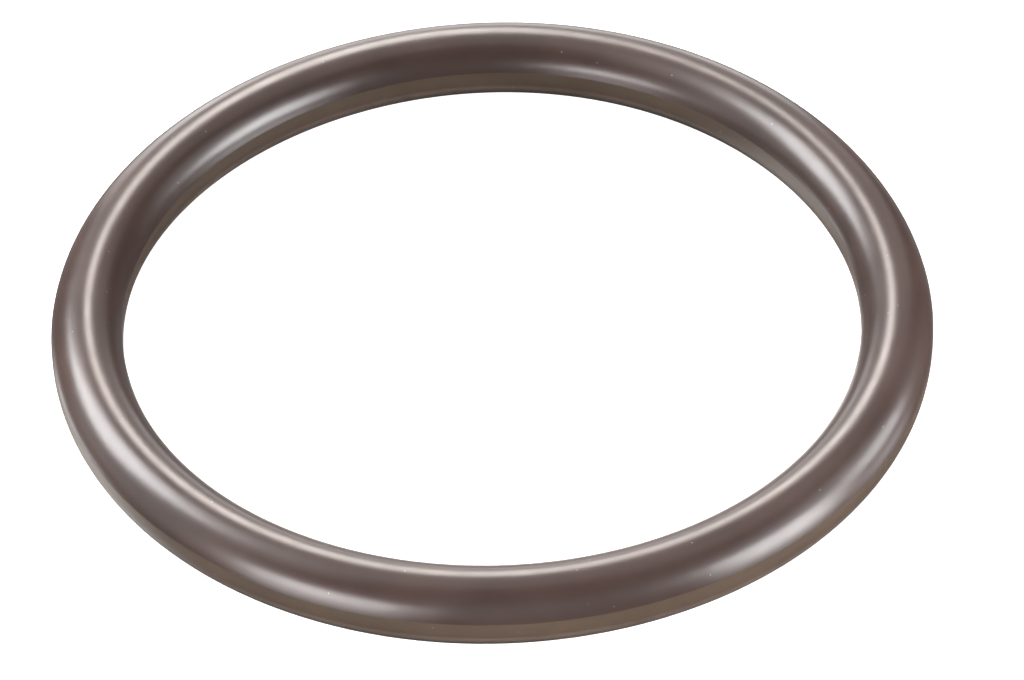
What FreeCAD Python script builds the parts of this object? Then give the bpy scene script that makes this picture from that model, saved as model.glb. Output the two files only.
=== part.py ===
import FreeCAD, Part
import Sketcher
import math
import os

# Sealing ring of a stovetop pressure cooker, moulded in one piece from silicone.
# The section is a C that opens downwards: a round crown, a narrow straight band at the widest
# place on each side, and below the bands two lips that draw in again to flat, narrow feet.
# Steam enters between the lips, fills the chamber above them and presses both walls outwards,
# so that the outer wall seals in the lid's rim and the feet seal on the pot's rim.
# Origin: centre of the ring in the plane of the feet. +Z: the ring's axis, crown up.

SIZES = {
    "mean_diameter": 220.0,      # diameter of the circle midway between the two walls
    "section_width": 19.6,       # outer band to inner band
    "band_height": 1.0,          # straight band between crown and lips
    "lip_height": 7.2,           # feet to the lower edge of the bands
    "chamber_width": 12.0,       # round steam chamber inside the crown
    "mouth_width": 8.4,          # gap between the lips
    "foot_round": 2.5,           # rounding of each lip on its outside
    "mouth_round": 0.6,          # rounding of each lip at the mouth
    "throat_round": 1.0,         # rounding where the mouth widens into the chamber
}

doc = FreeCAD.newDocument("sealing_ring")


def make_size_sheet():
    """Spreadsheet with one aliased row for each driving dimension."""
    sheet = doc.addObject("Spreadsheet::Sheet", "sizes")
    for row, (name, value) in enumerate(SIZES.items(), start=1):
        sheet.set(f"A{row}", name)
        sheet.set(f"B{row}", str(value))
        sheet.setAlias(f"B{row}", name)
    doc.recompute()
    return sheet


def origin_feature(body, role):
    """Plane or axis of the body's own origin."""
    return next(item for item in body.Origin.OriginFeatures if item.Role == role)


def section_sketch(body, name):
    """Empty sketch on the body's XZ plane: its X runs outwards from the ring's axis, its Y is up."""
    sketch = body.newObject("Sketcher::SketchObject", name)
    sketch.AttachmentSupport = (origin_feature(body, "XZ_Plane"), [""])
    sketch.MapMode = "FlatFace"
    return sketch


def bind(sketch, name, formula, *constraint):
    """Add one dimension to a sketch, name it and drive it from the sheet."""
    index = sketch.addConstraint(Sketcher.Constraint(*constraint))
    sketch.renameConstraint(index, name)
    sketch.setExpression(f"Constraints.{name}", formula)


# The sketches start from rough places. Their constraints and the sheet give the real ones.
ROUGH_REACH, ROUGH_HALF, ROUGH_LIP, ROUGH_BAND = 110.0, 10.0, 7.0, 1.0
START, END, CENTRE = 1, 2, 3
X_AXIS, ORIGIN = -1, 1


def rough_point(across, up):
    return FreeCAD.Vector(ROUGH_REACH + across, up, 0)


def rough_arc(up, first, last):
    circle = Part.Circle(rough_point(0, up), FreeCAD.Vector(0, 0, 1), ROUGH_HALF)
    return Part.ArcOfCircle(circle, math.radians(first), math.radians(last))


def add_line(sketch, start, end):
    return sketch.addGeometry(Part.LineSegment(start, end))


def outside_sketch(body):
    """Outline of the whole section: crown, two bands, two lips and the plane of the feet."""
    sketch = section_sketch(body, "outside_section")
    band_top, half, foot_angle = ROUGH_LIP + ROUGH_BAND, ROUGH_HALF, 44
    foot = half * math.cos(math.radians(foot_angle))

    crown = sketch.addGeometry(rough_arc(band_top, 0, 180))
    outer_band = add_line(sketch, rough_point(half, ROUGH_LIP), rough_point(half, band_top))
    outer_lip = sketch.addGeometry(rough_arc(ROUGH_LIP, -foot_angle, 0))
    base = add_line(sketch, rough_point(-foot, 0), rough_point(foot, 0))
    inner_lip = sketch.addGeometry(rough_arc(ROUGH_LIP, 180, 180 + foot_angle))
    inner_band = add_line(sketch, rough_point(-half, band_top), rough_point(-half, ROUGH_LIP))

    for constraint in (
        Sketcher.Constraint("Tangent", outer_band, END, crown, START),
        Sketcher.Constraint("Tangent", crown, END, inner_band, START),
        Sketcher.Constraint("Tangent", outer_lip, END, outer_band, START),
        Sketcher.Constraint("Tangent", inner_band, END, inner_lip, START),
        Sketcher.Constraint("Coincident", inner_lip, END, base, START),
        Sketcher.Constraint("Coincident", base, END, outer_lip, START),
        Sketcher.Constraint("Coincident", inner_lip, CENTRE, outer_lip, CENTRE),
        Sketcher.Constraint("Equal", outer_lip, crown),
        Sketcher.Constraint("Vertical", outer_band),
        Sketcher.Constraint("Vertical", inner_band),
        Sketcher.Constraint("Horizontal", base),
        Sketcher.Constraint("PointOnObject", base, START, X_AXIS),
    ):
        sketch.addConstraint(constraint)

    bind(sketch, "half_width", "sizes.section_width / 2",
         "Radius", crown, half)
    bind(sketch, "reach", "sizes.mean_diameter / 2",
         "DistanceX", X_AXIS, ORIGIN, outer_lip, CENTRE, ROUGH_REACH)
    bind(sketch, "lip_height", "sizes.lip_height",
         "DistanceY", X_AXIS, ORIGIN, outer_lip, CENTRE, ROUGH_LIP)
    bind(sketch, "band_height", "sizes.band_height",
         "DistanceY", outer_band, START, outer_band, END, ROUGH_BAND)
    return sketch


def mouth_sketch(body):
    """Rectangle of the gap between the lips, from the plane of the feet up into the chamber."""
    sketch = section_sketch(body, "mouth_section")
    corners = [rough_point(-4, 0), rough_point(4, 0), rough_point(4, ROUGH_LIP), rough_point(-4, ROUGH_LIP)]
    sides = [add_line(sketch, corners[i], corners[(i + 1) % 4]) for i in range(4)]
    for i in range(4):
        sketch.addConstraint(Sketcher.Constraint("Coincident", sides[i], END, sides[(i + 1) % 4], START))
        sketch.addConstraint(Sketcher.Constraint("Horizontal" if i % 2 == 0 else "Vertical", sides[i]))

    bottom, right = sides[0], sides[1]
    sketch.addConstraint(Sketcher.Constraint("PointOnObject", bottom, START, X_AXIS))
    bind(sketch, "mouth_width", "sizes.mouth_width",
         "DistanceX", bottom, START, bottom, END, 8)
    bind(sketch, "inner_side", "(sizes.mean_diameter - sizes.mouth_width) / 2",
         "DistanceX", X_AXIS, ORIGIN, bottom, START, ROUGH_REACH - 4)
    bind(sketch, "mouth_depth", "sizes.lip_height + sizes.band_height / 2",
         "DistanceY", right, START, right, END, ROUGH_LIP)
    return sketch


def chamber_sketch(body):
    """Circle of the steam chamber, centred between the bands."""
    sketch = section_sketch(body, "chamber_section")
    circle = sketch.addGeometry(Part.Circle(rough_point(0, ROUGH_LIP), FreeCAD.Vector(0, 0, 1), 6))
    bind(sketch, "chamber_radius", "sizes.chamber_width / 2",
         "Radius", circle, 6)
    bind(sketch, "reach", "sizes.mean_diameter / 2",
         "DistanceX", X_AXIS, ORIGIN, circle, CENTRE, ROUGH_REACH)
    bind(sketch, "middle", "sizes.lip_height + sizes.band_height / 2",
         "DistanceY", X_AXIS, ORIGIN, circle, CENTRE, ROUGH_LIP)
    return sketch


def turn(body, kind, name, profile):
    """Revolution or Groove of a profile once round the ring's axis."""
    feature = body.newObject(kind, name)
    feature.Profile = profile
    feature.ReferenceAxis = (origin_feature(body, "Z_Axis"), [""])
    feature.Angle = 360
    doc.recompute()
    return feature


def round_edges(body, name, edges, radius_formula):
    """Fillet on these edges of the body's last feature."""
    last_feature = body.Tip
    feature = body.newObject("PartDesign::Fillet", name)
    feature.Base = (last_feature, edges)
    feature.setExpression("Radius", radius_formula)
    body.Tip = feature
    doc.recompute()


def ring_edges(shape, wanted):
    """Names of the circular edges that the test accepts, given their height and diameter."""
    names = []
    for number, edge in enumerate(shape.Edges, start=1):
        if isinstance(edge.Curve, Part.Circle) and wanted(edge.Curve.Center.z, 2 * edge.Curve.Radius):
            names.append(f"Edge{number}")
    return names


def make_sealing_ring(sheet):
    """The whole ring: turned solid, then mouth and chamber cut out, then lips rounded."""
    body = doc.addObject("PartDesign::Body", "sealing_ring_body")
    body.Label = "sealing_ring"

    solid = turn(body, "PartDesign::Revolution", "solid_ring", outside_sketch(body))
    mouth = turn(body, "PartDesign::Groove", "mouth", mouth_sketch(body))
    chamber = turn(body, "PartDesign::Groove", "steam_chamber", chamber_sketch(body))
    if not solid.Shape.Volume > mouth.Shape.Volume > chamber.Shape.Volume:
        raise RuntimeError("the mouth or the chamber cut nothing")

    close = 0.01
    mouth_diameters = [sheet.mean_diameter + side * sheet.mouth_width for side in (-1, 1)]
    at_mouth = lambda diameter: any(abs(diameter - mouth) < close for mouth in mouth_diameters)
    foot = lambda z, diameter: abs(z) < close and not at_mouth(diameter)
    mouth_edge = lambda z, diameter: abs(z) < close and at_mouth(diameter)
    throat = lambda z, diameter: z > close and at_mouth(diameter)
    round_edges(body, "foot_rounds", ring_edges(body.Shape, foot), "sizes.foot_round")
    round_edges(body, "mouth_rounds", ring_edges(body.Shape, mouth_edge), "sizes.mouth_round")
    round_edges(body, "throat_rounds", ring_edges(body.Shape, throat), "sizes.throat_round")
    return body


def check_document():
    """Stop if any object of the document failed to compute."""
    doc.recompute()
    for item in doc.Objects:
        if "Invalid" in item.State or "Error" in item.State:
            raise RuntimeError(f"{item.Label} failed: {item.State}")


def check_shape(body):
    """Stop if the sub-part is not one valid solid."""
    shape = body.Shape
    if shape.isNull() or not shape.isValid() or len(shape.Solids) != 1:
        raise RuntimeError(f"{body.Label} is not one valid solid")


sub_parts = [make_sealing_ring(make_size_sheet())]

check_document()
for sub_part in sub_parts:
    check_shape(sub_part)

os.makedirs("parts", exist_ok=True)
for sub_part in sub_parts:
    sub_part.Shape.exportStep(f"parts/{sub_part.Label}.step")
    box = sub_part.Shape.optimalBoundingBox()
    print(f"{sub_part.Label}: {box.XLength:.1f} x {box.YLength:.1f} x {box.ZLength:.1f} mm, "
          f"{sub_part.Shape.Volume / 1000:.1f} cm3")
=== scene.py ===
import bmesh
import bpy
import math
from mathutils import Matrix, Vector


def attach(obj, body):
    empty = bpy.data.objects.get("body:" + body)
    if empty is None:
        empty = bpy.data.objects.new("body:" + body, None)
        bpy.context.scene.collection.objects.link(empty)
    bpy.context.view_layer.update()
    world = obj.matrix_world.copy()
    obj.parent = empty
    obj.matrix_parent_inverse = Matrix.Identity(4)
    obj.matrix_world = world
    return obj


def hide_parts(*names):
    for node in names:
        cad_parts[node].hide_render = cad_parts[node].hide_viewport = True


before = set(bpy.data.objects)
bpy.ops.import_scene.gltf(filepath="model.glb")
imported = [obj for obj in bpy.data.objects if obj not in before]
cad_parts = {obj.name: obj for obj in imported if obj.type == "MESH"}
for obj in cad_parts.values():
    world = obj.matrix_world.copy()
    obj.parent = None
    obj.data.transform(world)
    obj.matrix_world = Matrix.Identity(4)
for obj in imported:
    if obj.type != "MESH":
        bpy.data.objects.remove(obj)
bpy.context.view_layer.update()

mm = 0.001


# Small helpers for shader nodes

def newMaterial(name):
    material = bpy.data.materials.new(name)
    material.use_nodes = True
    return material, material.node_tree.nodes["Principled BSDF"]


def addNode(tree, kind, place, **values):
    # values with a capital first letter go to sockets, the others are the node's own settings
    node = tree.nodes.new(kind)
    node.location = place
    for name, value in values.items():
        if name[0].isupper():
            node.inputs[name.replace("_", " ")].default_value = value
        else:
            setattr(node, name, value)
    return node


def addNoise(tree, coordinates, place, scale, detail):
    noise = addNode(tree, "ShaderNodeTexNoise", place, Scale=scale, Detail=detail)
    tree.links.new(coordinates, noise.inputs["Vector"])
    return noise.outputs["Fac"]


def addRamp(tree, place, stops):
    node = addNode(tree, "ShaderNodeValToRGB", place)
    ramp = node.color_ramp
    while len(ramp.elements) < len(stops):
        ramp.elements.new(1.0)
    for element, (position, colour) in zip(ramp.elements, stops):
        element.position = position
        element.color = (*colour, 1)
    return node


# The silicone: warm grey-brown and satin above the mould's parting line; below it duller, and paler and more
# olive in colour, partly a duller finish and partly painted light standing in for the table's bounce and
# reflection

silicone = {
    # painted shade: darker at the feet, where the ring's own overhang shades the table under it
    "paintedFootShadeColour": (0.0440, 0.0310, 0.0240),
    # painted reflection: a pale line standing for the lit table mirrored just above the feet
    "paintedReflectionLineColour": (0.0820, 0.0580, 0.0450),
    # partly painted light: paler and more olive below the parting line for the table's bounce, partly the
    # lower half's duller finish
    "lowFinishAndBounceColour": (0.0550, 0.0365, 0.0255),
    "colour": (0.0320, 0.0192, 0.0165),
    "reflectionLineHeight": 4.2 * mm,       # middle of the pale line over the feet, a painted reflection of the lit table
    "partingHeight": 10.0 * mm,   # where the two halves of the mould met
    "ringHeight": 18.0 * mm,
    "paintedFootShadeFade": 0.060,            # this and the next three are shares of the ring's height
    "reflectionLineHalf": 0.030,
    "reflectionLineFade": 0.035,
    "partingFade": 0.006,
    "mottling": 0.36,             # how much darker and lighter the colour gets
    "mottleScale": 38.0,
    "speckColour": (0.16, 0.14, 0.13),
    "speckScale": 160.0,
    "speckSize": (0.045, 0.020),  # a speck's edge and its full core, as shares of a cell
    "roughness": 0.305,
    "lowRoughness": 0.42,
    "roughnessSpread": 0.04,
    "sheenScale": 120.0,
    "grainScale": 900.0,
    "grainHeight": 0.04 * mm,
    "grainStrength": 0.05,
    "waveScale": 90.0,
    "waveHeight": 0.2 * mm,
    "waveStrength": 0.35,
    "noiseEnds": (0.1, 0.9),      # a noise between these two is spread over its whole range
    "ior": 1.43,
}


def siliconeMaterial():
    material, shader = newMaterial("satinSilicone")
    tree = material.node_tree
    link = tree.links.new
    place = addNode(tree, "ShaderNodeTexCoord", (-1700, 0)).outputs["Object"]
    least, most = silicone["noiseEnds"]

    # the colour by height: narrow feet in painted shade, a pale painted reflection of the lit table where
    # the lips draw in, the low band partly in painted bounce light, then the crown
    split = addNode(tree, "ShaderNodeSeparateXYZ", (-1400, 600))
    link(place, split.inputs["Vector"])
    full = silicone["ringHeight"]
    height = addNode(tree, "ShaderNodeMapRange", (-1200, 600), From_Min=0.0, From_Max=full)
    link(split.outputs["Z"], height.inputs["Value"])
    line, parting = silicone["reflectionLineHeight"] / full, silicone["partingHeight"] / full
    reflectionLineHalf, fade = silicone["reflectionLineHalf"], silicone["partingFade"]
    bands = addRamp(tree, (-900, 600), [
        (line - reflectionLineHalf - silicone["paintedFootShadeFade"], silicone["paintedFootShadeColour"]),
        (line - reflectionLineHalf, silicone["paintedReflectionLineColour"]),
        (line + reflectionLineHalf, silicone["paintedReflectionLineColour"]),
        (line + reflectionLineHalf + silicone["reflectionLineFade"], silicone["lowFinishAndBounceColour"]),
        (parting - fade, silicone["lowFinishAndBounceColour"]),
        (parting + fade, silicone["colour"]),
    ])
    link(height.outputs["Result"], bands.inputs["Fac"])

    # slow mottling of the colour
    cloud = addNoise(tree, place, (-1200, 300), silicone["mottleScale"], 3.0)
    mottle = addNode(tree, "ShaderNodeMapRange", (-900, 300), From_Min=least, From_Max=most,
                     To_Min=1 - silicone["mottling"], To_Max=1 + silicone["mottling"])
    link(cloud, mottle.inputs["Value"])
    tint = addNode(tree, "ShaderNodeVectorMath", (-600, 450), operation="SCALE")
    link(bands.outputs["Color"], tint.inputs["Vector"])
    link(mottle.outputs["Result"], tint.inputs["Scale"])

    # a few fine specks of dust; the mix node's colours are its sockets 6 and 7, and its colour result is 2
    cells = addNode(tree, "ShaderNodeTexVoronoi", (-900, 900), Scale=silicone["speckScale"])
    link(place, cells.inputs["Vector"])
    edge, core = silicone["speckSize"]
    specks = addNode(tree, "ShaderNodeMapRange", (-600, 900), From_Min=edge, From_Max=core)
    link(cells.outputs["Distance"], specks.inputs["Value"])
    dusted = addNode(tree, "ShaderNodeMix", (-300, 600), data_type="RGBA")
    link(specks.outputs["Result"], dusted.inputs["Factor"])
    link(tint.outputs["Vector"], dusted.inputs[6])
    dusted.inputs[7].default_value = (*silicone["speckColour"], 1)
    link(dusted.outputs[2], shader.inputs["Base Color"])

    # sheen patches: the gloss isn't quite the same all over, and it is duller below the parting line
    haze = addNoise(tree, place, (-1200, 0), silicone["sheenScale"], 2.0)
    spread = silicone["roughnessSpread"]
    patches = addNode(tree, "ShaderNodeMapRange", (-900, 0), From_Min=least, From_Max=most,
                      To_Min=-spread, To_Max=spread)
    link(haze, patches.inputs["Value"])
    gloss = addNode(tree, "ShaderNodeMapRange", (-900, -200),
                    From_Min=parting - fade, From_Max=parting + fade,
                    To_Min=silicone["lowRoughness"], To_Max=silicone["roughness"])
    link(height.outputs["Result"], gloss.inputs["Value"])
    sheen = addNode(tree, "ShaderNodeMath", (-600, 0), operation="ADD")
    link(gloss.outputs["Result"], sheen.inputs[0])
    link(patches.outputs["Result"], sheen.inputs[1])
    link(sheen.outputs["Value"], shader.inputs["Roughness"])

    # fine moulded grain over a slow waviness
    grain = addNoise(tree, place, (-1200, -400), silicone["grainScale"], 1.0)
    fineBump = addNode(tree, "ShaderNodeBump", (-600, -400),
                       Strength=silicone["grainStrength"], Distance=silicone["grainHeight"])
    link(grain, fineBump.inputs["Height"])
    wave = addNoise(tree, place, (-1200, -700), silicone["waveScale"], 2.0)
    slowBump = addNode(tree, "ShaderNodeBump", (-300, -400),
                       Strength=silicone["waveStrength"], Distance=silicone["waveHeight"])
    link(wave, slowBump.inputs["Height"])
    link(fineBump.outputs["Normal"], slowBump.inputs["Normal"])
    link(slowBump.outputs["Normal"], shader.inputs["Normal"])

    shader.inputs["IOR"].default_value = silicone["ior"]
    return material


# The ring: one round section with a steam chamber that opens downwards, spun once round the axis

ring = {
    "meanRadius": 110.0 * mm,
    "halfWidth": 9.8 * mm,
    "bandHeight": 1.0 * mm,
    "lipHeight": 7.2 * mm,
    "chamberRadius": 6.0 * mm,
    "mouthHalf": 4.2 * mm,
    "footRound": 2.5 * mm,
    "mouthRound": 0.6 * mm,
    "throatRound": 1.0 * mm,
    "partingHeight": silicone["partingHeight"],
    "partingStep": 0.03 * mm,     # how far the lower half stands proud of the upper
    "bandBulge": 0.06 * mm,       # how far the wall below the parting line swells out
    "threeWaves": (-0.24 * mm, -0.43 * mm),   # out of round, three waves round: cosine and sine
    "fourWaves": -0.14 * mm,                  # out of round, four waves round: sine
    "spinSteps": 384,             # steps round the ring
    "crownSteps": 22,             # steps in a quarter of the section
    "bulgeSteps": 6,
    "roundSteps": 6,
    "mirrorGap": 0.001 * mm,      # points nearer than this are merged
    "mergeGap": 0.002 * mm,
    "sharpAngle": 30,             # degrees; only the step at the parting line turns more
}


def spinPoint(section, vertex, centre, degrees, steps):
    # sweeps one vertex along an arc of the section and gives the arc's last vertex
    swept = bmesh.ops.spin(section, geom=[vertex], cent=centre, axis=(0, 1, 0), angle=math.radians(degrees),
                           steps=steps, use_merge=False, use_duplicate=False)
    return next(item for item in swept["geom_last"] if isinstance(item, bmesh.types.BMVert))


def extrudePoint(section, vertex, place):
    # a straight run of the section from one vertex to a place
    grown = bmesh.ops.extrude_vert_indiv(section, verts=[vertex])["verts"][0]
    grown.co = place
    return grown


def halfSection(section):
    # the outer half: from the crown's top down to the foot, across it, up the mouth and round the chamber
    reach, half = ring["meanRadius"], ring["halfWidth"]
    lipTop, bandTop = ring["lipHeight"], ring["lipHeight"] + ring["bandHeight"]
    middle = ring["lipHeight"] + ring["bandHeight"] / 2
    mouthOut = reach + ring["mouthHalf"]
    throatDrop = math.sqrt(ring["chamberRadius"] ** 2 - ring["mouthHalf"] ** 2)
    chamberTurn = 90 + math.degrees(math.asin(throatDrop / ring["chamberRadius"]))
    steps = ring["crownSteps"]

    # the crown stops at the parting line; a flatter arc below it swells out to just short of the half width
    rise = ring["partingHeight"] - bandTop
    partingTurn = math.degrees(math.asin(rise / half))
    ledge = half * math.cos(math.radians(partingTurn)) + ring["partingStep"]
    bulge = ring["bandBulge"]
    wall = ledge + bulge
    bulgeRadius = (rise * rise + bulge * bulge) / (2 * bulge)
    bulgeTurn = math.degrees(math.asin(rise / bulgeRadius))
    lipTurn = math.degrees(math.asin(lipTop / wall))

    top = section.verts.new((reach, 0, bandTop + half))
    parting = spinPoint(section, top, (reach, 0, bandTop), 90 - partingTurn, steps)
    ledgeEdge = extrudePoint(section, parting, (reach + ledge, 0, ring["partingHeight"]))
    bulgeCentre = (reach + wall - bulgeRadius, 0, bandTop)
    bandStart = spinPoint(section, ledgeEdge, bulgeCentre, bulgeTurn, ring["bulgeSteps"])
    bandEnd = extrudePoint(section, bandStart, (reach + wall, 0, lipTop))
    foot = spinPoint(section, bandEnd, (reach, 0, lipTop), lipTurn, steps // 2)
    mouth = extrudePoint(section, foot, (mouthOut, 0, 0))
    throat = extrudePoint(section, mouth, (mouthOut, 0, middle - throatDrop))
    spinPoint(section, throat, (reach, 0, middle), -chamberTurn, steps)
    return foot, mouth, throat


def roundCorner(section, corner, radius):
    # bevels one corner of the section's outline; the offset is measured along the sides
    first, second = [edge.other_vert(corner).co - corner.co for edge in corner.link_edges]
    half = first.angle(second) / 2
    bmesh.ops.bevel(section, geom=[corner], affect="VERTICES", offset=radius / math.tan(half),
                    offset_type="OFFSET", segments=ring["roundSteps"], profile=0.5, material=-1)


def makeRing():
    section = bmesh.new()
    corners = halfSection(section)
    for corner, radius in zip(corners, (ring["footRound"], ring["mouthRound"], ring["throatRound"])):
        roundCorner(section, corner, radius)

    # the inner half mirrors the outer one, then the whole section goes once round
    bmesh.ops.mirror(section, geom=section.verts[:] + section.edges[:], axis="X",
                     merge_dist=ring["mirrorGap"], matrix=Matrix.Translation((-ring["meanRadius"], 0, 0)))
    bmesh.ops.remove_doubles(section, verts=section.verts, dist=ring["mergeGap"])
    bmesh.ops.spin(section, geom=section.verts[:] + section.edges[:], cent=(0, 0, 0), axis=(0, 0, 1),
                   angle=math.tau, steps=ring["spinSteps"], use_merge=True, use_duplicate=False)
    bmesh.ops.remove_doubles(section, verts=section.verts, dist=ring["mergeGap"])

    # the loose ring lies a little out of round
    cosine, sine = ring["threeWaves"]
    for vertex in section.verts:
        turn = math.atan2(vertex.co.y, vertex.co.x)
        grow = cosine * math.cos(3 * turn) + sine * math.sin(3 * turn)
        grow += ring["fourWaves"] * math.sin(4 * turn)
        vertex.co.x += grow * math.cos(turn)
        vertex.co.y += grow * math.sin(turn)

    bmesh.ops.recalc_face_normals(section, faces=section.faces)
    for face in section.faces:
        face.smooth = True
    for edge in section.edges:
        edge.smooth = edge.calc_face_angle(0) < math.radians(ring["sharpAngle"])

    mesh = bpy.data.meshes.new("siliconeRing")
    section.to_mesh(mesh)
    section.free()
    piece = bpy.data.objects.new("siliconeRing", mesh)
    bpy.context.scene.collection.objects.link(piece)
    mesh.materials.append(siliconeMaterial())
    return piece


print("making the ring")
siliconeRing = makeRing()
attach(siliconeRing, "root")
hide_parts("sealing_ring")
print("ring faces", len(siliconeRing.data.polygons))


# The studio: a dark glossy table for the ring to mirror, a white floor for the camera, and soft boxes

studio = {
    "tableGrey": 0.10,
    "tableRoughness": 0.06,
    "tableGlow": 0.13,
    "floorWhite": 0.60,
    "floorRoughness": 0.8,
    "floorGlow": 0.95,
    "floorDrop": 0.05 * mm,       # the floor lies this far under the table
    "floorRadius": 3.0,
    "floorSides": 128,
    "roomLight": 0.01,            # past the soft boxes, as the ring sees it
    "backdropLight": 1.0,         # past the floor, as the camera sees it
}


def makeDisc(name, height, material):
    disc = bmesh.new()
    bmesh.ops.create_circle(disc, cap_ends=True, segments=studio["floorSides"], radius=studio["floorRadius"],
                            matrix=Matrix.Translation((0, 0, height)))
    mesh = bpy.data.meshes.new(name)
    disc.to_mesh(mesh)
    disc.free()
    mesh.materials.append(material)
    piece = bpy.data.objects.new(name, mesh)
    bpy.context.scene.collection.objects.link(piece)
    return piece


def plainMaterial(name, value, roughness, glow, metallic):
    material, shader = newMaterial(name)
    shader.inputs["Base Color"].default_value = (value, value, value, 1)
    shader.inputs["Roughness"].default_value = roughness
    shader.inputs["Metallic"].default_value = metallic
    shader.inputs["Emission Color"].default_value = (1, 1, 1, 1)
    shader.inputs["Emission Strength"].default_value = glow
    return material


print("making the studio")
# the table lights the ring and is mirrored in it; the camera sees only the white floor just under the table
tablePaint = plainMaterial("glossyTable", studio["tableGrey"], studio["tableRoughness"],
                           studio["tableGlow"], metallic=1.0)
tableTop = makeDisc("tableTop", 0.0, tablePaint)
tableTop.visible_camera = False
tableTop.visible_shadow = False
floorPaint = plainMaterial("paleFloorPaint", studio["floorWhite"], studio["floorRoughness"],
                           studio["floorGlow"], metallic=0.0)
floor = makeDisc("paleFloor", -studio["floorDrop"], floorPaint)
floor.visible_glossy = False
floor.visible_diffuse = False

# Each soft box faces the middle of the ring. In degrees: turn is its place round the ring, with 90 at the
# back, lift its height, wide and high how large it looks from the middle. away is its distance in metres and
# light its brightness. lit=False leaves a highlight only, mirrored=False a light without a highlight.
softBoxes = {
    "frontLeft": dict(turn=-127.3, lift=10.8, away=0.604, wide=32.0, high=19.5, light=19.0, lit=False),
    "frontRight": dict(turn=-25.5, lift=13.0, away=3.0, wide=30, high=26, light=21.0, lit=False),
    "right": dict(turn=-0.5, lift=13.6, away=0.396, wide=17, high=16, light=12.0, lit=False),
    "backLeft": dict(turn=152, lift=39, away=1.2, wide=28, high=32, light=22.0),
    "back": dict(turn=94.5, lift=38, away=1.2, wide=12, high=24, light=23.0, tint=(1.0, 0.93, 0.88)),
    "backHaze": dict(turn=88, lift=28, away=1.25, wide=64, high=40, light=1.3, tint=(1.0, 0.95, 0.92)),
    "backLow": dict(turn=90, lift=5, away=1.3, wide=40, high=11, light=4.0),
    "leftStrip": dict(turn=112, lift=5, away=1.2, wide=13, high=16, light=3.2),
    "overhead": dict(turn=90, lift=76, away=1.3, wide=60, high=36, light=1.3),
    "leftHigh": dict(turn=178, lift=58, away=1.2, wide=40, high=26, light=1.7, lit=False),
    "leftSide": dict(turn=185, lift=20, away=1.2, wide=60, high=40, light=1.5),
    "rightSide": dict(turn=-5, lift=22, away=1.2, wide=44, high=40, light=1.9),
    "frontFill": dict(turn=-82, lift=12, away=0.25, wide=80, high=9, light=18.5, mirrored=False),
    "rightFill": dict(turn=-10, lift=20, away=0.25, wide=50, high=12, light=20.0, mirrored=False),
    "leftFill": dict(turn=190, lift=20, away=0.25, wide=40, high=12, light=9.0, mirrored=False),
}


def makeSoftBox(name, box):
    lamp = bpy.data.lights.new(name, "AREA")
    lamp.shape = "RECTANGLE"
    turn, lift = math.radians(box["turn"]), math.radians(box["lift"])
    outward = Vector((math.cos(turn) * math.cos(lift), math.sin(turn) * math.cos(lift), math.sin(lift)))
    lamp.size = 2 * box["away"] * math.tan(math.radians(box["wide"]) / 2)
    lamp.size_y = 2 * box["away"] * math.tan(math.radians(box["high"]) / 2)
    lamp.color = box.get("tint", (1, 1, 1))
    lamp.energy = box["light"] * lamp.size * lamp.size_y * math.pi
    holder = bpy.data.objects.new(name, lamp)
    facing = outward.to_track_quat("Z", "Y").to_matrix().to_4x4()
    holder.matrix_world = Matrix.Translation(outward * box["away"]) @ facing
    holder.visible_camera = False
    holder.visible_glossy = box.get("mirrored", True)
    holder.visible_diffuse = box.get("lit", True)
    bpy.context.scene.collection.objects.link(holder)


for name, box in softBoxes.items():
    makeSoftBox(name, box)


def makeRoom():
    # pale for the camera, dark for everything that the ring mirrors
    world = bpy.data.worlds.new("room")
    world.use_nodes = True
    tree = world.node_tree
    tree.nodes.clear()
    path = addNode(tree, "ShaderNodeLightPath", (-600, 0))
    room = addNode(tree, "ShaderNodeBackground", (-300, 100),
                   Color=(1, 1, 1, 1), Strength=studio["roomLight"])
    seen = addNode(tree, "ShaderNodeBackground", (-300, -100),
                   Color=(1, 1, 1, 1), Strength=studio["backdropLight"])
    mix = addNode(tree, "ShaderNodeMixShader", (0, 0))
    output = addNode(tree, "ShaderNodeOutputWorld", (200, 0))
    tree.links.new(path.outputs["Is Camera Ray"], mix.inputs["Fac"])
    tree.links.new(room.outputs["Background"], mix.inputs[1])
    tree.links.new(seen.outputs["Background"], mix.inputs[2])
    tree.links.new(mix.outputs["Shader"], output.inputs["Surface"])
    bpy.context.scene.world = world


makeRoom()
bpy.context.scene.view_settings.view_transform = "Standard"

# The camera looks down over the near side of the ring

cameraSettings = {
    "elevation": 42.44,
    "distance": 1.4136,
    "height": 7.7 * mm,           # of the point it looks at
    "lens": 182.53,
    "roll": -1.713,
    "shift": (0.0191, -0.0229),
    "clip": (0.1, 20),
}


def makeCamera():
    camera = bpy.data.cameras.new("camera")
    camera.lens = cameraSettings["lens"]
    camera.shift_x, camera.shift_y = cameraSettings["shift"]
    camera.clip_start, camera.clip_end = cameraSettings["clip"]
    lift = math.radians(cameraSettings["elevation"])
    back = Vector((0, -math.cos(lift), math.sin(lift)))
    target = Vector((0, 0, cameraSettings["height"]))
    holder = bpy.data.objects.new("camera", camera)
    turned = back.to_track_quat("Z", "Y").to_matrix().to_4x4()
    roll = Matrix.Rotation(math.radians(cameraSettings["roll"]), 4, "Z")
    holder.matrix_world = Matrix.Translation(target + back * cameraSettings["distance"]) @ turned @ roll
    bpy.context.scene.collection.objects.link(holder)
    bpy.context.scene.camera = holder


makeCamera()

print("done")
